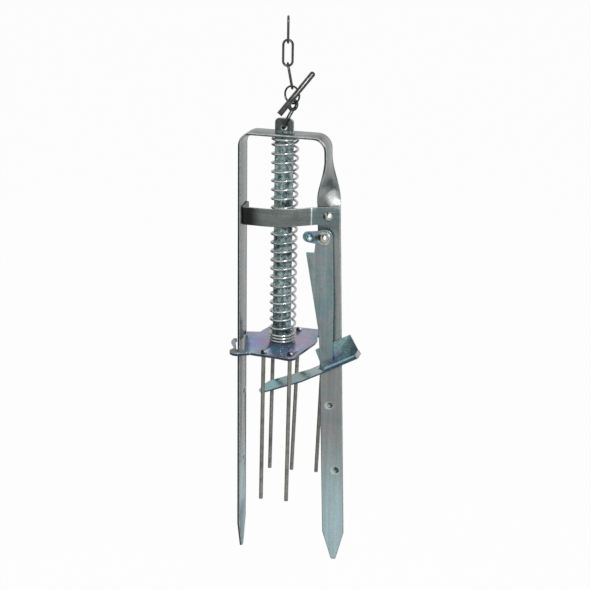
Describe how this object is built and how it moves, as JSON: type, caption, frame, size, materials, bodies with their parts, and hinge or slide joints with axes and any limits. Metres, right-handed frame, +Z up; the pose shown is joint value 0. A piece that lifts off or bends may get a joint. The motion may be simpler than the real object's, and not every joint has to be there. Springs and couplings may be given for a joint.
{
  "type": "plunger mole trap",
  "caption": "Hanging plunger mole trap: flat-strap frame with pointed legs, coil spring on a sliding bar, spike plate, catch lever and tongue trigger, short pull chain.",
  "frame": {"origin": "inside top of the uppermost chain link, the point that the trap hangs from", "axes": "+Z up along the plunger, +X to the trap's right as seen from the front, front is -Y"},
  "size_m": [0.1492, 0.105, 0.6405],
  "materials": {
    "strap": "zinc plated, satin",
    "brace": "zinc plated, satin",
    "lever": "zinc plated, satin",
    "trigger": "zinc plated, glossy",
    "plate": "zinc plated, glossy",
    "bar": "zinc plated, satin",
    "spring": "bright wire",
    "spike": "plain steel",
    "rivet": "zinc plated, bright",
    "chain": "zinc plated, bright"
  },
  "bodies": {
    "chain_link_1": {"chain_link_1": "chain"},
    "chain_link_2": {"chain_link_2": "chain"},
    "chain_link_3": {"chain_link_3": "chain"},
    "pull_ring": {"pull_ring": "chain"},
    "toggle_bar": {"toggle_bar": "chain"},
    "plunger_eye": {"plunger_eye": "chain"},
    "plunger": {"plunger_bar": "bar", "spike_plate": "plate", "plunger_spring": "spring", "spike_1": "spike", "spike_2": "spike", "spike_3": "spike", "spike_4": "spike", "spike_5": "spike"},
    "frame": {"frame_strap": "strap", "brace_band": "brace", "brace_rivet": "rivet", "lever_rivet": "rivet", "lever_spacer": "rivet", "lever_washer": "rivet", "trigger_rivet": "rivet"},
    "catch_lever": {"catch_lever": "lever"},
    "safety_latch": {"safety_latch": "lever"},
    "trigger": {"trigger_pan": "trigger"}
  },
  "joints": [
    {"name": "link_2_swing", "type": "hinge", "parent": "chain_link_1", "child": "chain_link_2", "pos_m": [0, 0, -0.0261], "axis": [-0.2588, 0.9659, 0], "range_deg": [-30, 30]},
    {"name": "link_3_swing", "type": "hinge", "parent": "chain_link_2", "child": "chain_link_3", "pos_m": [0, 0, -0.0506], "axis": [0.9659, 0.2588, 0], "range_deg": [-30, 30]},
    {"name": "ring_swing", "type": "hinge", "parent": "chain_link_3", "child": "pull_ring", "pos_m": [0.00542, 0, -0.07456], "axis": [0, 1, 0], "range_deg": [-20, 20]},
    {"name": "toggle_swing", "type": "hinge", "parent": "pull_ring", "child": "toggle_bar", "pos_m": [0.01299, -0.00276, -0.07642], "axis": [-0.484, 0.1762, 0.8572], "range_deg": [0, 30]},
    {"name": "eye_swing", "type": "hinge", "parent": "pull_ring", "child": "plunger_eye", "pos_m": [0.00542, 0, -0.09066], "axis": [0.9397, -0.342, 0], "range_deg": [-15, 15]},
    {"name": "plunger_swing", "type": "hinge", "parent": "plunger_eye", "child": "plunger", "pos_m": [-0.0026, 0, -0.11656], "axis": [0, 1, 0], "range_deg": [-12, 12]},
    {"name": "frame_slide", "type": "slide", "parent": "plunger", "child": "frame", "axis": [0, 0, -1], "range_m": [0, 0.118], "stiffness_N_per_m": 1200, "springref_m": -0.03, "deforming": ["plunger_spring"]},
    {"name": "lever_pivot", "type": "hinge", "parent": "frame", "child": "catch_lever", "pos_m": [0.04656, 0, -0.23533], "axis": [0, -1, 0], "range_deg": [0, 23]},
    {"name": "latch_pivot", "type": "hinge", "parent": "frame", "child": "safety_latch", "pos_m": [0.04656, 0, -0.23533], "axis": [0, -1, 0], "range_deg": [-15, 75]},
    {"name": "trigger_pivot", "type": "hinge", "parent": "frame", "child": "trigger", "pos_m": [0.05335, 0, -0.36727], "axis": [0, 1, 0], "range_deg": [0, 48.5]}
  ],
  "couplings": [
    {"joint": "lever_pivot", "follows": "frame_slide", "rad_per_m": 3.328},
    {"joint": "trigger_pivot", "follows": "frame_slide", "rad_per_m": 7.0996}
  ]
}
